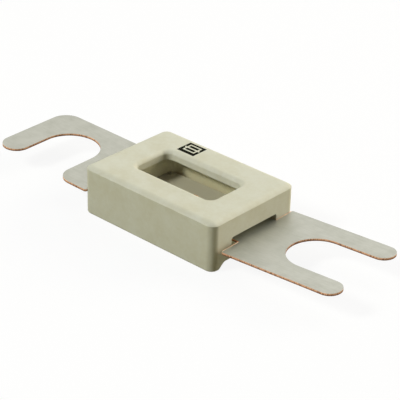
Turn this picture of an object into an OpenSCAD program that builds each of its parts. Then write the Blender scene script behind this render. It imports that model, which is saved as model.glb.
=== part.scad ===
// Bolt down strip fuse: a stamped strip with two slotted blades, held in a moulded
// housing with a window. Origin at the middle of the underside, +Z up, +X towards
// the blade whose slot opens at its end.

/* [Housing] */
// Length of the housing along the strip
housing_l = 31.5; // [30:0.5:40]
// Width of the housing
housing_w = 21.6; // [20.5:0.1:26]
// Height of the housing
housing_h = 9.5; // [9:0.1:14]
// How far in from the sides the top begins to fall
edge_in = 1.3; // [0.8:0.1:1.3]
// How far below the top that fall ends, in a crisp line
edge_drop = 0.55; // [0.3:0.05:0.8]
// Rounding of the upright corners
corner_r = 1.55; // [1.4:0.05:2.5]
// Rounding of the bottom edges
foot_round = 0.4; // [0.2:0.1:0.6]
// Height of the gap under each end wall, between the feet
relief_h = 1.3; // [0.6:0.1:1.6]
// Width of the level part of that gap
relief_flat_w = 14.8; // [10:0.2:15]
// Width of that gap at the feet
relief_w = 19.2; // [17:0.2:19.4]

/* [Window] */
// Length of the opening in the roof
window_l = 18.6; // [12:0.2:20]
// Width of the opening in the roof
window_w = 8.8; // [6:0.2:10]
// Corner radius of the opening
window_corner_r = 1.4; // [0.8:0.1:2.5]
// How far outside the opening the top begins to fall towards it
window_edge_in = 0.9; // [0.4:0.1:1.2]
// How far below the top that fall ends, in a crisp line
window_edge_drop = 0.6; // [0.3:0.05:0.8]
// Thickness of the roof
roof_t = 1.75; // [1.2:0.05:2.4]
// Ledge behind the opening at its two ends
end_ledge = 0.35; // [0.3:0.05:1]
// Ledge behind the opening along its two sides
side_ledge = 2.5; // [1.5:0.1:2.6]
// Corner radius of the chamber
chamber_corner_r = 0.8; // [0.4:0.1:1.5]
// Thickness of the clear pane
pane_t = 0.6; // [0.3:0.1:1]
// Play round the pane
pane_play = 0.1; // [0.05:0.05:0.2]

/* [Fuse strip] */
// Thickness of the strip
strip_t = 0.45; // [0.3:0.05:1]
// Height of the strip's underside above the base
strip_z = 3.75; // [3:0.05:4.2]
// Width of the two blades
blade_w = 19.75; // [17:0.25:22]
// Width of the necks that pass through the end walls
neck_w = 10.1; // [7:0.1:10.4]
// Gap between a blade's shoulders and the end wall
shoulder_gap = 0.4; // [0.4:0.05:2]
// Rounding of the shoulders' outer corners
shoulder_r = 0.4; // [0.2:0.1:1]
// Play beside the neck in its slot
neck_play = 0.9; // [0.7:0.05:1.2]
// Clear height over the neck at the slot's mouth
slot_head = 1.1; // [0.5:0.1:1.5]
// Depth of the slot's high mouth
mouth_depth = 1.2; // [0.6:0.1:3]
// Clear height over the neck further in
throat_head = 0.3; // [0.2:0.05:0.5]
// Rounding of the slot's upper corners
slot_corner_r = 0.4; // [0.2:0.1:0.5]
// Width of the strip in the chamber, which holds it between the end walls
link_w = 12.8; // [11:0.1:13]
// Play between that wide part and the end walls
link_play = 0.75; // [0.6:0.05:1.2]
// Width of the hole that leaves the two fusing bridges
link_hole_w = 5; // [3:0.1:6]
// Length of that hole along the strip
link_hole_l = 2.6; // [1:0.1:3]

/* [Set of the strip] */
// Turn of the strip within its play, seen from above
strip_turn = 1.6; // [-2:0.1:2]
// Upward bend of the blade with the end slot
end_blade_lift = 2.9; // [0:0.1:5]
// Upward bend of the blade with the side slot
side_blade_lift = 1.7; // [0:0.1:5]

/* [Blade with the end slot] */
// Length from its shoulders to its tips
end_blade_l = 23.45; // [18:0.05:30]
// Width of its slot
end_slot_w = 10.7; // [8:0.1:12]
// Distance from its shoulders to the centre of the slot's round end
end_slot_u = 12.95; // [9:0.05:16]

/* [Blade with the side slot] */
// Length from its shoulders to its outer edge
side_blade_l = 24.95; // [22:0.05:30]
// Width of its slot
side_slot_w = 11.7; // [8:0.1:12]
// Width of the finger outside the slot
finger_w = 5.5; // [4:0.1:7]
// How far the finger stops short of the front edge
finger_short = 1; // [0:0.1:3]
// Distance of the slot's round end behind the strip's middle line
side_slot_v = -0.4; // [-2:0.1:1]
// Radius of the inner corner at the slot's mouth
lobe_r = 3.2; // [1:0.1:3.5]
// Radius of the outer back corner
back_corner_r = 3.5; // [1:0.1:4]

/* [Closing plate] */
// Length of the plate between the end walls' feet
plate_l = 25; // [22:0.5:26]
// Width of the plate
plate_w = 16; // [15:0.1:17]
// Thickness of the plate
plate_t = 2; // [1.7:0.1:2.5]
// Corner radius of the plate
plate_corner_r = 1; // [0.5:0.1:2]
// Play round the plate
plate_play = 0.1; // [0.05:0.05:0.2]
// Play beside a tongue in its slot
tongue_play = 0.1; // [0.05:0.05:0.2]
// How far a tongue stays behind the end wall's face
tongue_inset = 0.1; // [0:0.05:0.5]
// Depth of the pocket beside the top of a tongue
tongue_step = 1.4; // [0.5:0.1:1.8]

/* [Hidden] */
$fn = 64;
// Overshoot that lets a cut pass a face
past = 1;
// Steps of the curve that leads from the gap down to a foot
relief_steps = 12;
chamber_l = window_l + 2 * end_ledge;
chamber_w = window_w + 2 * side_ledge;
roof_z = housing_h - roof_t;
slot_w = neck_w + 2 * neck_play;
slot_top = strip_z + strip_t + slot_head;
throat_top = strip_z + strip_t + throat_head;
pocket_l = plate_l + 2 * plate_play;
pocket_w = plate_w + 2 * plate_play;
shoulder_x = housing_l / 2 + shoulder_gap;
tine_w = (blade_w - end_slot_w) / 2;
link_l = chamber_l - 2 * link_play;
edge_r = fall_r(edge_in, edge_drop);
window_edge_r = fall_r(window_edge_in, window_edge_drop);
// Side slot: its inner edge, its middle and the finger's round tip
side_slot_in = side_blade_l - finger_w - side_slot_w;
side_slot_u = side_slot_in + side_slot_w / 2;
finger_tip_v = -blade_w / 2 + finger_short + finger_w / 2;

// Radius of the arc that leaves a level top and has fallen by drop after a run of reach
function fall_r(reach, drop) = (reach * reach + drop * drop) / (2 * drop);

// Rectangle with round corners, centred
module rounded_rect(l, w, r) {
  square([l - 2 * r, w], center = true);
  square([l, w - 2 * r], center = true);
  for (x = [-1, 1], y = [-1, 1])
    translate([x * (l / 2 - r), y * (w / 2 - r)]) circle(r);
}

// Upright section of the housing: the top falls away in an arc that ends in a crisp
// line on each flat side, and the foot is rounded
module housing_section(w) {
  intersection() {
    union() {
      translate([-w / 2, foot_round]) square([w, housing_h - foot_round + past]);
      translate([-w / 2 + foot_round, 0]) square([w - 2 * foot_round, housing_h]);
      for (side = [-1, 1])
        translate([side * (w / 2 - foot_round), foot_round]) circle(foot_round);
    }
    union() {
      translate([-w / 2 - past, -past]) square([w + 2 * past, housing_h - edge_r + past]);
      translate([-w / 2 + edge_in, -past]) square([w - 2 * edge_in, housing_h + past]);
      for (side = [-1, 1])
        translate([side * (w / 2 - edge_in), housing_h - edge_r]) circle(edge_r);
    }
  }
}

// The housing before it is hollowed: two crossing bars and four turned corners
module housing_blank() {
  rotate([90, 0, 90])
    linear_extrude(housing_l - 2 * corner_r, center = true) housing_section(housing_w);
  rotate([90, 0, 0])
    linear_extrude(housing_w - 2 * corner_r, center = true) housing_section(housing_l);
  for (x = [-1, 1], y = [-1, 1])
    translate([x * (housing_l / 2 - corner_r), y * (housing_w / 2 - corner_r), 0])
      rotate_extrude() intersection() {
        housing_section(2 * corner_r);
        square([corner_r, housing_h]);
      }
}

// Bead that runs round the window: what the falling edge keeps of the roof
module window_bead() {
  path_r = window_corner_r + window_edge_in;
  half_l = window_l / 2 + window_edge_in;
  half_w = window_w / 2 + window_edge_in;
  for (side = [-1, 1]) {
    translate([0, side * half_w, 0]) rotate([0, 90, 0])
      cylinder(r = window_edge_r, h = 2 * (half_l - path_r), center = true);
    translate([side * half_l, 0, 0]) rotate([90, 0, 0])
      cylinder(r = window_edge_r, h = 2 * (half_w - path_r), center = true);
  }
  for (x = [-1, 1], y = [-1, 1])
    translate([x * (half_l - path_r), y * (half_w - path_r), 0]) rotate(atan2(y, x) - 45)
      rotate_extrude(angle = 90) translate([path_r, 0]) circle(window_edge_r);
}

// Window opening with its falling upper edge
module window_cut() {
  translate([0, 0, roof_z - past])
    linear_extrude(roof_t + 2 * past) rounded_rect(window_l, window_w, window_corner_r);
  difference() {
    translate([0, 0, housing_h - window_edge_r])
      linear_extrude(window_edge_r + past)
        rounded_rect(window_l + 2 * window_edge_in, window_w + 2 * window_edge_in,
                     window_corner_r + window_edge_in);
    translate([0, 0, housing_h - window_edge_r]) window_bead();
  }
}

// Section of the slot that passes an end wall, open at the bottom
module slot_section(top) {
  translate([-slot_w / 2, -past]) square([slot_w, top - slot_corner_r + past]);
  translate([-slot_w / 2 + slot_corner_r, 0]) square([slot_w - 2 * slot_corner_r, top]);
  for (side = [-1, 1])
    translate([side * (slot_w / 2 - slot_corner_r), top - slot_corner_r])
      circle(slot_corner_r);
}

// Slot through both end walls: a high mouth outside, a low throat further in
module slot_cut() {
  rotate([90, 0, 90])
    linear_extrude(housing_l, center = true) slot_section(throat_top);
  for (side = [-1, 1])
    translate([side * (housing_l / 2 + (past - mouth_depth) / 2), 0, 0]) rotate([90, 0, 90])
      linear_extrude(mouth_depth + past, center = true) slot_section(slot_top);
}

// Outline of the gap between two feet: level in the middle, then a smooth fall
function relief_fall(side) = [for (i = [0 : relief_steps])
  let (s = i / relief_steps)
    [side * (relief_flat_w + s * (relief_w - relief_flat_w)) / 2,
     relief_h * (1 + cos(180 * s)) / 2]];

module relief_cut() {
  reach = (housing_l - pocket_l) / 2 + past;
  left = relief_fall(-1);
  right = relief_fall(1);
  for (side = [-1, 1])
    translate([side * (pocket_l / 2 + reach / 2), 0, 0]) rotate([90, 0, 90])
      linear_extrude(reach, center = true)
        polygon(concat([for (i = [relief_steps : -1 : 0]) left[i]], right,
                       [[relief_w / 2, -past], [-relief_w / 2, -past]]));
}

// One-piece moulded housing
module housing() {
  color("#D9D6BE") difference() {
    housing_blank();
    window_cut();
    slot_cut();
    relief_cut();
    translate([0, 0, -past])
      linear_extrude(roof_z + past) rounded_rect(chamber_l, chamber_w, chamber_corner_r);
    translate([0, 0, -past])
      linear_extrude(plate_t + past) rounded_rect(pocket_l, pocket_w, plate_corner_r + plate_play);
  }
}

// Clear sheet, seated against the underside of the roof
module window_pane() {
  color("#C9C7B0", 0.35) translate([0, 0, roof_z - pane_t])
    linear_extrude(pane_t)
      rounded_rect(chamber_l - 2 * pane_play, chamber_w - 2 * pane_play,
                   chamber_corner_r - pane_play);
}

// Outline of the strip between the two blades' shoulders
module link_outline() {
  difference() {
    union() {
      square([2 * shoulder_x, neck_w], center = true);
      square([link_l, link_w], center = true);
    }
    square([link_hole_l, link_hole_w - link_hole_l], center = true);
    for (side = [-1, 1])
      translate([0, side * (link_hole_w - link_hole_l) / 2]) circle(d = link_hole_l);
  }
}

// Rounds the two outer corners at the shoulders of a blade's outline
module round_shoulders() {
  difference() {
    children();
    for (side = [-1, 1])
      translate([(shoulder_r - past) / 2, side * (blade_w - shoulder_r + past) / 2])
        square(shoulder_r + past, center = true);
  }
  for (side = [-1, 1])
    translate([shoulder_r, side * (blade_w / 2 - shoulder_r)]) circle(shoulder_r);
}

// Blade with two tines, drawn from its shoulders outwards along +X
module end_blade_outline() {
  difference() {
    union() {
      translate([0, -blade_w / 2]) square([end_blade_l - tine_w / 2, blade_w]);
      for (side = [-1, 1])
        translate([end_blade_l - tine_w / 2, side * (blade_w - tine_w) / 2]) circle(d = tine_w);
    }
    translate([end_slot_u, 0]) circle(d = end_slot_w);
    translate([end_slot_u, -end_slot_w / 2]) square([end_blade_l, end_slot_w]);
  }
}

// Blade with one finger, drawn from its shoulders outwards along +X, mouth towards -Y
module side_blade_outline() {
  difference() {
    union() {
      translate([0, -blade_w / 2]) square([side_blade_l, blade_w - back_corner_r]);
      translate([0, -blade_w / 2]) square([side_blade_l - back_corner_r, blade_w]);
      translate([side_blade_l - back_corner_r, blade_w / 2 - back_corner_r])
        circle(back_corner_r);
    }
    translate([side_slot_u, side_slot_v]) circle(d = side_slot_w);
    translate([side_slot_in, side_slot_v - blade_w]) square([side_slot_w, blade_w]);
    translate([side_slot_in, finger_tip_v - blade_w])
      square([side_slot_w + finger_w + past, blade_w]);
    translate([side_slot_in - lobe_r, -blade_w / 2 - past]) square([lobe_r, lobe_r + past]);
  }
  translate([side_blade_l - finger_w / 2, finger_tip_v]) circle(d = finger_w);
  translate([side_slot_in - lobe_r, -blade_w / 2 + lobe_r]) circle(lobe_r);
}

// Stamped strip: level through the housing, each blade bent up at its shoulders
module fuse_strip() {
  color("#B9BCB0") translate([0, 0, strip_z]) rotate(strip_turn) {
    linear_extrude(strip_t) link_outline();
    translate([shoulder_x, 0, 0]) rotate([0, -end_blade_lift, 0])
      linear_extrude(strip_t) round_shoulders() end_blade_outline();
    translate([-shoulder_x, 0, 0]) rotate([0, side_blade_lift, 0])
      mirror([1, 0, 0]) linear_extrude(strip_t) round_shoulders() side_blade_outline();
  }
}

// Moulded plate that closes the underside, with a tongue under each neck
module closing_plate() {
  tongue_l = housing_l / 2 - tongue_inset - chamber_l / 2;
  tongue_w = slot_w - 2 * tongue_play;
  step_z = strip_z - tongue_step;
  color("#C9C5AA") {
    linear_extrude(plate_t) rounded_rect(plate_l, plate_w, plate_corner_r);
    for (side = [-1, 1])
      translate([side * (chamber_l + tongue_l) / 2, 0, 0]) {
        translate([0, 0, (relief_h + step_z) / 2])
          cube([tongue_l, tongue_w, step_z - relief_h], center = true);
        translate([0, 0, (relief_h + strip_z) / 2])
          cube([tongue_l, neck_w - 4 * tongue_play, strip_z - relief_h], center = true);
      }
  }
}

housing();
window_pane();
fuse_strip();
closing_plate();
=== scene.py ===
"""Bolt down strip fuse: materials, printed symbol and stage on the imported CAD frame."""
import math

import bmesh
import bpy
from bpy.props import FloatProperty, FloatVectorProperty, PointerProperty
from mathutils import Matrix, Vector


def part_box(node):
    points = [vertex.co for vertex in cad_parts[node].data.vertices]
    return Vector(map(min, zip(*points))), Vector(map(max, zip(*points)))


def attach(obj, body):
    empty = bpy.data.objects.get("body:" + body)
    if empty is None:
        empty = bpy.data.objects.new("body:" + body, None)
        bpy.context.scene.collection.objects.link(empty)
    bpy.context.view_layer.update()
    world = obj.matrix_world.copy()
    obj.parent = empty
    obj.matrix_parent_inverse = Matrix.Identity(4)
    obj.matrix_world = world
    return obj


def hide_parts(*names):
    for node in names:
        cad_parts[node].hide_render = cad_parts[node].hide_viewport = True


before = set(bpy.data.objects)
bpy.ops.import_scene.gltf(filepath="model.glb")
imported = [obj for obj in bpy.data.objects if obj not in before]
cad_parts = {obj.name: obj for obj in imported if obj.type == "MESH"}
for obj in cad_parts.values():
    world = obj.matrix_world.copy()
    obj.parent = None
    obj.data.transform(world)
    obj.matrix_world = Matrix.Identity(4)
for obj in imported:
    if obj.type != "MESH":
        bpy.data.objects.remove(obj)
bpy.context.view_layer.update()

bl_info = {
    "name": "Bolt down strip fuse",
    "version": (1, 0, 0),
    "blender": (4, 5, 0),
    "location": "View3D > Sidebar > Fuse",
    "description": "Dresses a bolt down strip fuse: moulded housing, clear pane, tinned strip",
    "category": "Object",
}

MM = 0.001
HOUSING_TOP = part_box("housing")[1].z
# The CAD mesh's points closer than this are one point, and its faces this flat are one face
SAME_POINT = 0.0005 * MM
SAME_FACE = math.radians(0.2)
# Faces whose normal's Z is smaller than this are the strip's stamped edges
UPRIGHT = 0.7


def linear(hex_colour):
    """sRGB hex to the linear colour that a shader socket takes."""
    values = [int(hex_colour[i:i + 2], 16) / 255 for i in (1, 3, 5)]
    return [v / 12.92 if v <= 0.04045 else ((v + 0.055) / 1.055) ** 2.4 for v in values]


def colour(name, description, hex_colour):
    """A colour property with its default given as sRGB hex."""
    return FloatVectorProperty(name=name, description=description, subtype="COLOR",
                               size=3, min=0, max=1, default=linear(hex_colour))


def length(name, description, default):
    """A length property, in metres."""
    return FloatProperty(name=name, description=description, default=default,
                         unit="LENGTH", precision=5)


class FuseHousingSettings(bpy.types.PropertyGroup):
    """Looks of the moulded housing and its closing plate"""
    ivory: colour("Ivory", "Colour of the moulding compound", "#D8D8C9")
    ivory_shade: colour("Ivory shade", "Its slightly darker cloudy patches", "#D1CFBB")
    ink: colour("Ink", "Colour of the printed symbol", "#17170F")
    grain: length("Grain", "Spacing of the fine moulded grain", 0.12 * MM)
    window_line: length("Window line", "Depth of the crisp line round the window", 0.6 * MM)
    mark_size: length("Symbol size", "Side of the printed square", 4.1 * MM)
    mark_x: length("Symbol X", "Middle of the printed square along the housing", -6.25 * MM)
    mark_y: length("Symbol Y", "Middle of the printed square across the housing", 7.75 * MM)


class FuseStripSettings(bpy.types.PropertyGroup):
    """Looks of the stamped strip"""
    tin: colour("Tin", "Colour of the tin plating", "#C0C1B9")
    tin_worn: colour("Worn tin", "Colour of the handled patches", "#B2B3AA")
    # Painted light: tone of the strip in the chamber, matt so that it shows lighter there
    chamber_light_tone: colour("Chamber light", "Colour of the dull film on the strip in the chamber", "#C1BFB9")
    copper: colour("Copper", "Colour of the sheared copper edge", "#F7CFAE")
    copper_dark: colour("Dark copper", "Colour of the torn part of the edge", "#946650")
    # Painted light: where the lighter matt tone in the chamber starts giving way to metal
    chamber_light_to: length("Film end", "From the middle of the housing to where the film thins",
                    9 * MM)
    bare_from: length("Bare start", "From the middle of the housing to where the tin is bare",
                      11 * MM)
    burr: colour("Burr", "Colour of the burnished burr at the shoulders", "#D2AE96")
    burr_radius: length("Burr radius", "Radius of that burr", 0.05 * MM)
    shoulder: length("Shoulder", "From the middle of the housing to a blade's shoulders",
                     16.15 * MM)
    burr_from: length("Burr start", "Where the burr starts beside the neck", 5.2 * MM)
    burr_to: length("Burr end", "Where the burr ends at the shoulder's corner", 9.5 * MM)
    top: length("Strip top", "Height of the strip's level top", 4.2 * MM)
    turn: FloatProperty(name="Turn", description="Turn of the strip, seen from above",
                        default=math.radians(1.6), subtype="ANGLE")
    roll: length("Rolled edge", "Width of the edges that the stamping rolled over", 0.09 * MM)
    scratch_gap: length("Scratch spacing", "Mean distance between fine scratches", 0.3 * MM)
    edge_angle: FloatProperty(name="Edge angle", description="Bends sharper than this stay sharp",
                              default=math.radians(30), subtype="ANGLE")


class FusePaneSettings(bpy.types.PropertyGroup):
    """Looks of the clear pane"""
    tint: colour("Tint", "Colour of the sheet's own haze", "#8A7A50")
    amber: colour("Amber", "Colour that each of its faces gives to light passing", "#FEFDF7")
    cover: FloatProperty(name="Cover", description="How much of what is behind it the sheet hides",
                         default=0.03, min=0, max=1, subtype="FACTOR")


class FuseStageSettings(bpy.types.PropertyGroup):
    """Floor, lamps and camera"""
    azimuth: FloatProperty(name="Azimuth", description="Camera's turn from looking along +Y",
                           default=math.radians(41.87), subtype="ANGLE")
    elevation: FloatProperty(name="Elevation", description="Camera's height above the horizon",
                             default=math.radians(28.70), subtype="ANGLE")
    roll: FloatProperty(name="Roll", description="Camera's turn about its own line of sight",
                        default=math.radians(1.50), subtype="ANGLE")
    distance: length("Distance", "From the camera to the point that it looks at", 267.5 * MM)
    target: FloatVectorProperty(name="Target", description="The point that the camera looks at",
                                default=(1.64 * MM, 1.42 * MM, 4.315 * MM), precision=5,
                                subtype="TRANSLATION")
    lens: FloatProperty(name="Lens", description="Focal length in millimetres", default=133.74)
    floor_size: length("Floor size", "Side of the square floor", 4.0)
    floor_gap: length("Floor gap", "How far the floor lies below the underside", 0.02 * MM)
    floor_glow: FloatProperty(name="Floor glow", description="How much of its white is its own",
                              default=0.9, min=0, max=1, subtype="FACTOR")
    surround: colour("Surroundings", "Tone of the light that the surroundings cast", "#FAF8F2")
    backdrop: colour("Backdrop", "Colour of floor and surroundings as the camera sees them",
                     "#FFFFFF")
    table: colour("Table", "Colour of the floor in the light that it bounces", "#A09A78")
    mirrored: FloatProperty(name="Mirrored floor", description="Glow of the floor in reflections",
                            default=0.2, min=0, max=1, subtype="FACTOR")
    fill: FloatProperty(name="Fill", description="Level of the light that the surroundings cast",
                        default=0.1, min=0)
    gloss_level: FloatProperty(name="Gloss level", description="Their level in reflections",
                               default=1.05, min=0)
    front_level: FloatProperty(name="Front level", description="Share that the front side keeps",
                               default=0.2, min=0, max=1, subtype="FACTOR")
    front_azimuth: FloatProperty(name="Front azimuth", description="Middle of that front side",
                                 default=math.radians(42), subtype="ANGLE")
    front_elevation: FloatProperty(name="Front elevation", description="Its height",
                                   default=math.radians(5), subtype="ANGLE")


# Shader building

def add(tree, kind, settings=None):
    """Adds a node. Each setting is an attribute's value, an input's value or a link to an input."""
    node = tree.nodes.new(kind)
    for key, value in (settings or {}).items():
        if isinstance(value, bpy.types.NodeSocket):
            tree.links.new(value, node.inputs[key])
        elif isinstance(key, str) and hasattr(node, key) and key not in node.inputs:
            setattr(node, key, value)
        else:
            node.inputs[key].default_value = value
    return node


def new_material(name):
    """An empty node material and its tree."""
    material = bpy.data.materials.new(name)
    material.use_nodes = True
    material.node_tree.nodes.clear()
    return material, material.node_tree


def opaque(values):
    """A colour socket's four values."""
    return [*values, 1.0]


def moulded_ivory(settings, name):
    """Ivory thermoset moulding compound, pressed in a fine-blasted tool: satin, faintly cloudy."""
    material, tree = new_material(name)
    place = add(tree, "ShaderNodeTexCoord").outputs["Object"]
    # Clouds about 5 mm across, flecks of filler 0.7 mm across and a far finer grain
    clouds = add(tree, "ShaderNodeTexNoise",
                 {"Scale": 1 / (5 * MM), "Detail": 3.0, "Vector": place}).outputs["Fac"]
    flecks = add(tree, "ShaderNodeTexNoise",
                 {"Scale": 1 / (0.7 * MM), "Detail": 2.0, "Vector": place}).outputs["Fac"]
    grain = add(tree, "ShaderNodeTexNoise",
                {"Scale": 1 / settings.grain, "Detail": 2.0, "Vector": place}).outputs["Fac"]
    patches = add(tree, "ShaderNodeMath",
                  {"operation": "MULTIPLY_ADD", 0: flecks, 1: 0.5, 2: clouds}).outputs[0]
    shade = add(tree, "ShaderNodeMapRange",
                {"Value": patches, "From Min": 0.55, "From Max": 0.95}).outputs[0]
    body = add(tree, "ShaderNodeMix",
               {"data_type": "RGBA", 0: shade, 6: opaque(settings.ivory),
                7: opaque(settings.ivory_shade)}).outputs[2]
    rough = add(tree, "ShaderNodeMapRange",
                {"Value": grain, "From Min": 0.3, "From Max": 0.7, "To Min": 0.46,
                 "To Max": 0.58}).outputs[0]
    bump = add(tree, "ShaderNodeBump", {"Strength": 0.12, "Distance": 0.02 * MM, "Height": grain})
    shader = add(tree, "ShaderNodeBsdfPrincipled",
                 {"IOR": 1.5, "Specular IOR Level": 0.3, "Base Color": body, "Roughness": rough,
                  "Normal": bump.outputs[0]})
    add(tree, "ShaderNodeOutputMaterial", {0: shader.outputs[0]})
    return material


def printed_ink(settings):
    """Pad-printed ink on the moulding: flat near-black with hardly any sheen."""
    material, tree = new_material("Pad-printed ink")
    place = add(tree, "ShaderNodeTexCoord").outputs["Object"]
    # A grain of 0.15 mm in the moulding shows through as slightly thinner ink
    grain = add(tree, "ShaderNodeTexNoise",
                {"Scale": 1 / (0.15 * MM), "Detail": 2.0, "Vector": place}).outputs["Fac"]
    thin = add(tree, "ShaderNodeMapRange",
               {"Value": grain, "From Min": 0.5, "From Max": 0.8, "To Max": 0.05}).outputs[0]
    body = add(tree, "ShaderNodeMix",
               {"data_type": "RGBA", 0: thin, 6: opaque(settings.ink),
                7: opaque(settings.ivory)}).outputs[2]
    shader = add(tree, "ShaderNodeBsdfPrincipled",
                 {"IOR": 1.5, "Specular IOR Level": 0.05, "Roughness": 0.8, "Base Color": body})
    add(tree, "ShaderNodeOutputMaterial", {0: shader.outputs[0]})
    return material


def tinned_copper(settings):
    """Bright tin plating on rolled copper strip: satin metal with fine scratches and smudges."""
    material, tree = new_material("Tinned copper")
    place = add(tree, "ShaderNodeTexCoord").outputs["Object"]
    # Rolling and handling lines run along the strip, 8 times as long as they are wide
    rolled = add(tree, "ShaderNodeMapping", {"Scale": (0.12, 1.0, 1.0), "Vector": place})
    scratches = add(tree, "ShaderNodeTexNoise",
                    {"Scale": 1 / settings.scratch_gap, "Detail": 4.0,
                     "Vector": rolled.outputs[0]}).outputs["Fac"]
    smudges = add(tree, "ShaderNodeTexNoise",
                  {"Scale": 1 / (3 * MM), "Detail": 4.0, "Vector": place}).outputs["Fac"]
    marks = add(tree, "ShaderNodeMath",
                {"operation": "MULTIPLY_ADD", 0: scratches, 1: 0.5, 2: smudges}).outputs[0]
    worn = add(tree, "ShaderNodeMapRange",
               {"Value": marks, "From Min": 0.55, "From Max": 1.0}).outputs[0]
    body = add(tree, "ShaderNodeMix",
               {"data_type": "RGBA", 0: worn, 6: opaque(settings.tin),
                7: opaque(settings.tin_worn)}).outputs[2]
    rubbed = add(tree, "ShaderNodeMapRange",
                 {"Value": marks, "From Min": 0.6, "From Max": 1.0, "To Min": 0.76,
                  "To Max": 0.82}).outputs[0]
    # Painted light: in the chamber the strip is matt and not metal, in a tone of its own, which
    # lightens it there; past it the tin is metal and 0.3 less rough
    along = add(tree, "ShaderNodeSeparateXYZ", {0: place}).outputs["X"]
    out = add(tree, "ShaderNodeMath", {"operation": "ABSOLUTE", 0: along}).outputs[0]
    bare = add(tree, "ShaderNodeMapRange",
               {"Value": out, "From Min": settings.chamber_light_to,
                "From Max": settings.bare_from}).outputs[0]
    tone = add(tree, "ShaderNodeMix",
               {"data_type": "RGBA", 0: bare, 6: opaque(settings.chamber_light_tone), 7: body}).outputs[2]
    rough = add(tree, "ShaderNodeMath",
                {"operation": "MULTIPLY_ADD", 0: bare, 1: -0.3, 2: rubbed}).outputs[0]
    bump = add(tree, "ShaderNodeBump",
               {"Strength": 0.08, "Distance": 0.01 * MM, "Height": scratches})
    shader = add(tree, "ShaderNodeBsdfPrincipled",
                 {"Metallic": bare, "Base Color": tone, "Roughness": rough,
                  "Normal": bump.outputs[0]})
    add(tree, "ShaderNodeOutputMaterial", {0: shader.outputs[0]})
    return material


def sheared_copper(settings):
    """Bare copper where the strip was stamped out: sheared bright above, torn dark below."""
    material, tree = new_material("Sheared copper")
    place = add(tree, "ShaderNodeTexCoord").outputs["Object"]
    # Tear marks a quarter of a millimetre apart, drawn out over the thickness
    streaks = add(tree, "ShaderNodeMapping", {"Scale": (1.0, 1.0, 0.15), "Vector": place})
    tears = add(tree, "ShaderNodeTexNoise",
                {"Scale": 1 / (0.25 * MM), "Detail": 3.0,
                 "Vector": streaks.outputs[0]}).outputs["Fac"]
    streaky = add(tree, "ShaderNodeMapRange",
                  {"Value": tears, "From Min": 0.48, "From Max": 0.8}).outputs[0]
    height = add(tree, "ShaderNodeAttribute", {"attribute_name": "height"}).outputs["Fac"]
    lower = add(tree, "ShaderNodeMapRange",
                {"Value": height, "From Min": 0.25, "From Max": 0.6, "To Min": 0.75,
                 "To Max": 0.0}).outputs[0]
    torn = add(tree, "ShaderNodeMath",
               {"operation": "ADD", "use_clamp": True, 0: streaky, 1: lower}).outputs[0]
    body = add(tree, "ShaderNodeMix",
               {"data_type": "RGBA", 0: torn, 6: opaque(settings.copper),
                7: opaque(settings.copper_dark)}).outputs[2]
    rough = add(tree, "ShaderNodeMapRange",
                {"Value": tears, "From Min": 0.3, "From Max": 0.7, "To Min": 0.7,
                 "To Max": 0.85}).outputs[0]
    bump = add(tree, "ShaderNodeBump", {"Strength": 0.3, "Distance": 0.03 * MM, "Height": tears})
    shader = add(tree, "ShaderNodeBsdfPrincipled",
                 {"Metallic": 1.0, "Base Color": body, "Roughness": rough,
                  "Normal": bump.outputs[0]})
    add(tree, "ShaderNodeOutputMaterial", {0: shader.outputs[0]})
    return material


def burnished_burr(settings):
    """Copper drawn up by the blade-forming tool and burnished: a bright pinkish hairline."""
    material, tree = new_material("Burnished copper burr")
    place = add(tree, "ShaderNodeTexCoord").outputs["Object"]
    # The burr is rubbed unevenly, in patches some 0.8 mm long
    patches = add(tree, "ShaderNodeTexNoise",
                  {"Scale": 1 / (0.8 * MM), "Detail": 2.0, "Vector": place}).outputs["Fac"]
    rubbed = add(tree, "ShaderNodeMapRange",
                 {"Value": patches, "From Min": 0.35, "From Max": 0.65}).outputs[0]
    body = add(tree, "ShaderNodeMix",
               {"data_type": "RGBA", 0: rubbed, 6: opaque(settings.copper),
                7: opaque(settings.burr)}).outputs[2]
    shader = add(tree, "ShaderNodeBsdfPrincipled",
                 {"Metallic": 1.0, "Roughness": 0.35, "Base Color": body})
    add(tree, "ShaderNodeOutputMaterial", {0: shader.outputs[0]})
    return material


def clear_sheet(settings):
    """Thin clear insulating sheet: glossy and faintly amber, with a slight haze of its own."""
    material, tree = new_material("Clear sheet")
    place = add(tree, "ShaderNodeTexCoord").outputs["Object"]
    # Faint streaks of the casting, some 4 mm long and 1 mm wide
    stretched = add(tree, "ShaderNodeMapping", {"Scale": (0.25, 1.0, 1.0), "Vector": place})
    streaks = add(tree, "ShaderNodeTexNoise",
                  {"Scale": 1 / (1 * MM), "Detail": 2.0, "Vector": stretched.outputs[0]})
    rough = add(tree, "ShaderNodeMapRange",
                {"Value": streaks.outputs["Fac"], "From Min": 0.3, "From Max": 0.7,
                 "To Min": 0.1, "To Max": 0.16}).outputs[0]
    gloss = add(tree, "ShaderNodeBsdfPrincipled",
                {"Base Color": opaque(settings.tint), "Roughness": rough, "IOR": 1.58})
    clear = add(tree, "ShaderNodeBsdfTransparent", {"Color": opaque(settings.amber)})
    shader = add(tree, "ShaderNodeMixShader",
                 {0: settings.cover, 1: clear.outputs[0], 2: gloss.outputs[0]})
    add(tree, "ShaderNodeOutputMaterial", {0: shader.outputs[0]})
    return material


# Pieces

def merged_copy(node, name):
    """A copy of a CAD node's mesh, its triangles joined to flat faces, in an object of its own."""
    mesh = bpy.data.meshes.new(name)
    shape = bmesh.new()
    shape.from_mesh(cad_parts[node].data)
    bmesh.ops.remove_doubles(shape, verts=shape.verts, dist=SAME_POINT)
    bmesh.ops.dissolve_limit(shape, angle_limit=SAME_FACE, verts=shape.verts, edges=shape.edges)
    shape.to_mesh(mesh)
    shape.free()
    mesh.materials.clear()
    piece = bpy.data.objects.new(name, mesh)
    bpy.context.scene.collection.objects.link(piece)
    return piece


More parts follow.
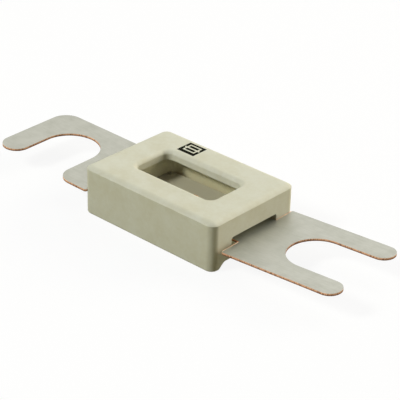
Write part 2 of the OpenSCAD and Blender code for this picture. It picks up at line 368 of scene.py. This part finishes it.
def finish_tree(name, first, second):
    """Geometry Nodes that smooth gentle bends, paint everything with the first material, and
    with the second the faces that stand upright or that are marked for it."""
    tree = bpy.data.node_groups.new(name, "GeometryNodeTree")
    tree.interface.new_socket("Geometry", in_out="INPUT", socket_type="NodeSocketGeometry")
    angle = tree.interface.new_socket("Edge angle", in_out="INPUT", socket_type="NodeSocketFloat")
    lean = tree.interface.new_socket("Upright below", in_out="INPUT", socket_type="NodeSocketFloat")
    tree.interface.new_socket("Geometry", in_out="OUTPUT", socket_type="NodeSocketGeometry")
    start = add(tree, "NodeGroupInput")
    bend = add(tree, "GeometryNodeInputMeshEdgeAngle")
    sharp = add(tree, "FunctionNodeCompare",
                {"operation": "GREATER_THAN", 0: bend.outputs[0], 1: start.outputs["Edge angle"]})
    crisp = add(tree, "GeometryNodeInputNamedAttribute", {"data_type": "BOOLEAN", "Name": "crisp"})
    creased = add(tree, "FunctionNodeBooleanMath",
                  {"operation": "OR", 0: sharp.outputs[0], 1: crisp.outputs[0]})
    faces = add(tree, "GeometryNodeSetShadeSmooth",
                {"domain": "FACE", "Geometry": start.outputs["Geometry"]})
    edges = add(tree, "GeometryNodeSetShadeSmooth",
                {"domain": "EDGE", "Shade Smooth": False, "Geometry": faces.outputs[0],
                 "Selection": creased.outputs[0]})
    painted = add(tree, "GeometryNodeSetMaterial",
                  {"Material": first, "Geometry": edges.outputs[0]})
    normal = add(tree, "GeometryNodeInputNormal")
    axes = add(tree, "ShaderNodeSeparateXYZ", {0: normal.outputs[0]})
    steep = add(tree, "ShaderNodeMath", {"operation": "ABSOLUTE", 0: axes.outputs["Z"]})
    upright = add(tree, "FunctionNodeCompare",
                  {"operation": "LESS_THAN", 0: steep.outputs[0],
                   1: start.outputs["Upright below"]})
    marked = add(tree, "GeometryNodeInputNamedAttribute",
                 {"data_type": "BOOLEAN", "Name": "inked"})
    chosen = add(tree, "FunctionNodeBooleanMath",
                 {"operation": "OR", 0: upright.outputs[0], 1: marked.outputs[0]})
    painted = add(tree, "GeometryNodeSetMaterial",
                  {"Material": second, "Geometry": painted.outputs[0],
                   "Selection": chosen.outputs[0]})
    real = add(tree, "GeometryNodeRealizeInstances", {0: painted.outputs[0]})
    add(tree, "NodeGroupOutput", {0: real.outputs[0]})
    return tree, angle.identifier, lean.identifier


def finish(piece, node, first, second, edge_angle, upright=0.0, rolled=0.0):
    """Rolls the edges, smooths and paints a piece, makes it plain and lets it stand for its
    CAD node."""
    if rolled:
        roll = piece.modifiers.new("Rolled edges", "BEVEL")
        roll.width = rolled
        roll.segments = 2
        roll.angle_limit = edge_angle
    tree, angle_input, upright_input = finish_tree(piece.name + " finish", first, second)
    modifier = piece.modifiers.new("Finish", "NODES")
    modifier.node_group = tree
    modifier[angle_input] = edge_angle
    modifier[upright_input] = upright
    flat = piece.modifiers.new("Flat faces", "WEIGHTED_NORMAL")
    flat.keep_sharp = True
    evaluated = piece.evaluated_get(bpy.context.evaluated_depsgraph_get())
    finished = bpy.data.meshes.new_from_object(evaluated)
    finished.name = piece.name
    piece.modifiers.clear()
    piece.data = finished
    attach(piece, "root")
    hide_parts(node)


def mark_strip(mesh):
    """Marks how high each point lies in the strip's thickness: 1 on an upper face, 0 below."""
    upper = set()
    for face in mesh.polygons:
        if face.normal.z > 0.9:
            upper.update(face.vertices)
    height = mesh.attributes.new("height", "FLOAT", "POINT")
    for index, item in enumerate(height.data):
        item.value = 1.0 if index in upper else 0.0


def mark_housing(mesh, settings):
    """Cuts the outline of a plain fuse symbol, left bare in a square, into the level top, marks
    the faces that carry ink and marks the crisp line round the window."""
    side = settings.mark_size
    middle = Vector((settings.mark_x, settings.mark_y, HOUSING_TOP))
    # Half sizes of the square, the symbol's frame outside and inside and its line, as shares
    square = 0.5
    frame_x, frame_y = 0.34, 0.29
    inner_x, inner_y = 0.26, 0.21
    line_x, line_y = 0.44, 0.045
    shares = {0: (square, line_x, frame_x, inner_x), 1: (square, frame_y, inner_y, line_y)}
    shape = bmesh.new()
    shape.from_mesh(mesh)
    for axis, values in shares.items():
        for value in [sign * share for share in values for sign in (-1, 1)]:
            top = [f for f in shape.faces
                   if min(v.co.z for v in f.verts) > HOUSING_TOP - 0.001 * MM]
            parts = set(top)
            parts.update(e for f in top for e in f.edges)
            parts.update(v for f in top for v in f.verts)
            cut = middle.copy()
            cut[axis] += value * side
            facing = Vector((0, 0, 0))
            facing[axis] = 1
            bmesh.ops.bisect_plane(shape, geom=list(parts), dist=0.00001 * MM, plane_co=cut,
                                   plane_no=facing)
    inked = shape.faces.layers.bool.new("inked")
    for face in shape.faces:
        place = (face.calc_center_median() - middle) / side
        u, v = abs(place.x), abs(place.y)
        in_square = max(u, v) < square and abs(place.z) < 0.01
        in_frame = (u < frame_x and v < frame_y) and not (u < inner_x and v < inner_y)
        in_line = u < line_x and v < line_y
        face[inked] = in_square and not in_frame and not in_line
    crisp = shape.edges.layers.bool.new("crisp")
    for edge in shape.edges:
        depths = [HOUSING_TOP - vertex.co.z for vertex in edge.verts]
        edge[crisp] = max(abs(depth - settings.window_line) for depth in depths) < 0.005 * MM
    shape.to_mesh(mesh)
    shape.free()


class FUSE_OT_housing(bpy.types.Operator):
    """Dresses the moulded housing, with its printed symbol, and its closing plate"""
    bl_idname = "fuse.housing"
    bl_label = "Housing and closing plate"

    def execute(self, context):
        settings = context.scene.fuse_housing
        angle = context.scene.fuse_strip.edge_angle
        ivory = moulded_ivory(settings, "Moulded ivory")
        shell = merged_copy("housing", "moulded_housing")
        mark_housing(shell.data, settings)
        finish(shell, "housing", ivory, printed_ink(settings), angle)
        plate = merged_copy("closing_plate", "moulded_closing_plate")
        finish(plate, "closing_plate", ivory, ivory, angle)
        return {"FINISHED"}


class FUSE_OT_strip(bpy.types.Operator):
    """Dresses the stamped strip, with bare copper where it was sheared"""
    bl_idname = "fuse.strip"
    bl_label = "Stamped strip"

    def execute(self, context):
        settings = context.scene.fuse_strip
        strip = merged_copy("fuse_strip", "stamped_strip")
        mark_strip(strip.data)
        finish(strip, "fuse_strip", tinned_copper(settings),
               sheared_copper(settings), settings.edge_angle, UPRIGHT, settings.roll)
        return {"FINISHED"}


class FUSE_OT_burr(bpy.types.Operator):
    """Draws the fine burr along the four shoulders of the strip"""
    bl_idname = "fuse.burr"
    bl_label = "Shoulder burr"

    def execute(self, context):
        settings = context.scene.fuse_strip
        line = bpy.data.curves.new("shoulder_burr", "CURVE")
        line.dimensions = "3D"
        line.bevel_depth = settings.burr_radius
        line.bevel_resolution = 1
        line.use_fill_caps = True
        turned = Matrix.Rotation(settings.turn, 3, "Z")
        for end in (-1, 1):
            for side in (-1, 1):
                spline = line.splines.new("POLY")
                spline.points.add(1)
                for point, reach in zip(spline.points, (settings.burr_from, settings.burr_to)):
                    place = turned @ Vector((end * settings.shoulder, side * reach, settings.top))
                    point.co = (*place, 1)
        source = bpy.data.objects.new("burr_line", line)
        context.scene.collection.objects.link(source)
        evaluated = source.evaluated_get(context.evaluated_depsgraph_get())
        mesh = bpy.data.meshes.new_from_object(evaluated)
        bpy.data.objects.remove(source)
        mesh.materials.clear()
        mesh.materials.append(burnished_burr(settings))
        burr = bpy.data.objects.new("shoulder_burr", mesh)
        context.scene.collection.objects.link(burr)
        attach(burr, "root")
        return {"FINISHED"}


class FUSE_OT_pane(bpy.types.Operator):
    """Gives the window pane its clear material"""
    bl_idname = "fuse.pane"
    bl_label = "Window pane"

    def execute(self, context):
        sheet = clear_sheet(context.scene.fuse_pane)
        pane = merged_copy("window_pane", "clear_pane")
        finish(pane, "window_pane", sheet, sheet, context.scene.fuse_strip.edge_angle)
        return {"FINISHED"}


def direction(azimuth, elevation):
    """Direction towards a given side and height, where azimuth 0 is the front (-Y)."""
    return Vector((math.sin(azimuth) * math.cos(elevation),
                   -math.cos(azimuth) * math.cos(elevation), math.sin(elevation)))


def camera_axes(settings):
    """Right, up and backward directions of the camera."""
    back = direction(settings.azimuth, settings.elevation)
    right = Vector((math.cos(settings.azimuth), math.sin(settings.azimuth), 0))
    up = back.cross(right)
    turn = settings.roll
    return (right * math.cos(turn) + up * math.sin(turn),
            up * math.cos(turn) - right * math.sin(turn), back)


def add_camera(settings):
    """Camera at the photograph's viewing angle."""
    target = Vector(settings.target)
    right, up, back = camera_axes(settings)
    data = bpy.data.cameras.new("Camera")
    data.sensor_width = 36
    data.lens = settings.lens
    data.clip_start = 0.005
    camera = bpy.data.objects.new("Camera", data)
    turn = Matrix((right, up, back)).transposed().to_4x4()
    camera.matrix_world = Matrix.Translation(target + back * settings.distance) @ turn
    bpy.context.scene.collection.objects.link(camera)
    bpy.context.scene.camera = camera


def add_lamp(name, azimuth, elevation, distance, size, power, tint="#FFFFFF", mirrored=True):
    """A soft square lamp that looks at the object from a given side. Shiny surfaces show it
    only if it is mirrored."""
    back = direction(math.radians(azimuth), math.radians(elevation))
    data = bpy.data.lights.new(name, "AREA")
    data.size = size
    data.energy = power
    data.color = linear(tint)
    lamp = bpy.data.objects.new(name, data)
    lamp.visible_glossy = mirrored
    lamp.location = back * distance
    lamp.rotation_euler = (-back).to_track_quat("-Z", "Y").to_euler()
    bpy.context.scene.collection.objects.link(lamp)


def add_floor(settings):
    """Pale floor: white to the camera, also through the pane, with a faint shadow, but a grey
    table to the light that bounces off it, so the shaded sides stay shaded."""
    half = settings.floor_size / 2
    mesh = bpy.data.meshes.new("Floor")
    low = -settings.floor_gap
    corners = [(-half, -half, low), (half, -half, low), (half, half, low), (-half, half, low)]
    mesh.from_pydata(corners, [], [(0, 1, 2, 3)])
    floor = bpy.data.objects.new("Floor", mesh)
    bpy.context.scene.collection.objects.link(floor)
    material, tree = new_material("Pale floor")
    path = add(tree, "ShaderNodeLightPath").outputs
    direct = add(tree, "ShaderNodeMath",
                 {"operation": "MAXIMUM", 0: path["Is Camera Ray"], 1: path["Is Transmission Ray"]})
    tone = add(tree, "ShaderNodeMix",
               {"data_type": "RGBA", 0: direct.outputs[0], 6: opaque(settings.table),
                7: opaque(settings.backdrop)})
    diffuse = add(tree, "ShaderNodeBsdfDiffuse", {"Color": tone.outputs[2]})
    glow = add(tree, "ShaderNodeEmission", {"Color": opaque(settings.backdrop)})
    mirrored = add(tree, "ShaderNodeMath",
                   {"operation": "MULTIPLY", 0: path["Is Glossy Ray"], 1: settings.mirrored})
    share = add(tree, "ShaderNodeMath",
                {"operation": "MULTIPLY_ADD", 0: direct.outputs[0], 1: settings.floor_glow,
                 2: mirrored.outputs[0]})
    mix = add(tree, "ShaderNodeMixShader",
              {0: share.outputs[0], 1: diffuse.outputs[0], 2: glow.outputs[0]})
    add(tree, "ShaderNodeOutputMaterial", {0: mix.outputs[0]})
    mesh.materials.append(material)


def add_world(settings):
    """White surroundings that cast a low light, with the studio's unlit side at the front."""
    world = bpy.data.worlds.new("Studio")
    bpy.context.scene.world = world
    world.use_nodes = True
    tree = world.node_tree
    tree.nodes.clear()
    path = add(tree, "ShaderNodeLightPath").outputs
    direct = add(tree, "ShaderNodeMath",
                 {"operation": "MAXIMUM", 0: path["Is Camera Ray"], 1: path["Is Transmission Ray"]})
    outward = add(tree, "ShaderNodeTexCoord").outputs["Generated"]
    front = direction(settings.front_azimuth, settings.front_elevation)
    facing = add(tree, "ShaderNodeVectorMath", {"operation": "DOT_PRODUCT", 0: outward, 1: front})
    lit = add(tree, "ShaderNodeMapRange",
              {"Value": facing.outputs["Value"], "From Min": 0.15, "From Max": 0.75,
               "To Min": 1.0, "To Max": settings.front_level})
    level = add(tree, "ShaderNodeMapRange",
                {"Value": path["Is Glossy Ray"], "To Min": settings.fill,
                 "To Max": settings.gloss_level})
    cast = add(tree, "ShaderNodeMath",
               {"operation": "MULTIPLY", 0: lit.outputs[0], 1: level.outputs[0]})
    shade = add(tree, "ShaderNodeBackground",
                {"Color": opaque(settings.surround), "Strength": cast.outputs[0]})
    shown = add(tree, "ShaderNodeBackground", {"Color": opaque(settings.backdrop), "Strength": 1.0})
    mix = add(tree, "ShaderNodeMixShader",
              {0: direct.outputs[0], 1: shade.outputs[0], 2: shown.outputs[0]})
    add(tree, "ShaderNodeOutputWorld", {0: mix.outputs[0]})


class FUSE_OT_stage(bpy.types.Operator):
    """Makes the floor, surroundings, lamps and camera"""
    bl_idname = "fuse.stage"
    bl_label = "Stage"

    def execute(self, context):
        settings = context.scene.fuse_stage
        context.scene.view_settings.view_transform = "Standard"
        add_camera(settings)
        add_floor(settings)
        add_world(settings)
        add_lamp("Left lamp", -27, 42, 0.7, 0.16, 3.3, "#FDFFF8")
        # The low lamp would glare on the level blades, so metal shows only a weak one before it
        add_lamp("Right lamp", 154, 15, 0.7, 0.5, 5.3, "#FFF8E4", False)
        add_lamp("Right sheen", 154, 15, 0.68, 0.5, 0.7, "#FFF8E4")
        add_lamp("Back lamp", 180, 55, 0.7, 0.4, 1.0)
        return {"FINISHED"}


class FUSE_PT_panel(bpy.types.Panel):
    """Lists the fuse's pieces and their settings"""
    bl_label = "Strip fuse"
    bl_space_type = "VIEW_3D"
    bl_region_type = "UI"
    bl_category = "Fuse"

    def draw(self, context):
        for operator, group in PIECES:
            self.layout.operator(operator.bl_idname)
            settings = getattr(context.scene, group)
            for key in settings.__annotations__:
                self.layout.prop(settings, key)


GROUPS = {"fuse_housing": FuseHousingSettings, "fuse_strip": FuseStripSettings,
          "fuse_pane": FusePaneSettings, "fuse_stage": FuseStageSettings}
PIECES = [(FUSE_OT_stage, "fuse_stage"), (FUSE_OT_housing, "fuse_housing"),
          (FUSE_OT_strip, "fuse_strip"), (FUSE_OT_burr, "fuse_strip"),
          (FUSE_OT_pane, "fuse_pane")]
CLASSES = [*GROUPS.values(), *[operator for operator, group in PIECES], FUSE_PT_panel]


def register():
    for cls in CLASSES:
        bpy.utils.register_class(cls)
    for name, group in GROUPS.items():
        setattr(bpy.types.Scene, name, PointerProperty(type=group))


def unregister():
    for name in GROUPS:
        delattr(bpy.types.Scene, name)
    for cls in reversed(CLASSES):
        bpy.utils.unregister_class(cls)


def main():
    register()
    bpy.ops.fuse.stage()
    bpy.ops.fuse.housing()
    bpy.ops.fuse.strip()
    bpy.ops.fuse.burr()
    bpy.ops.fuse.pane()


if __name__ == "__main__":
    main()
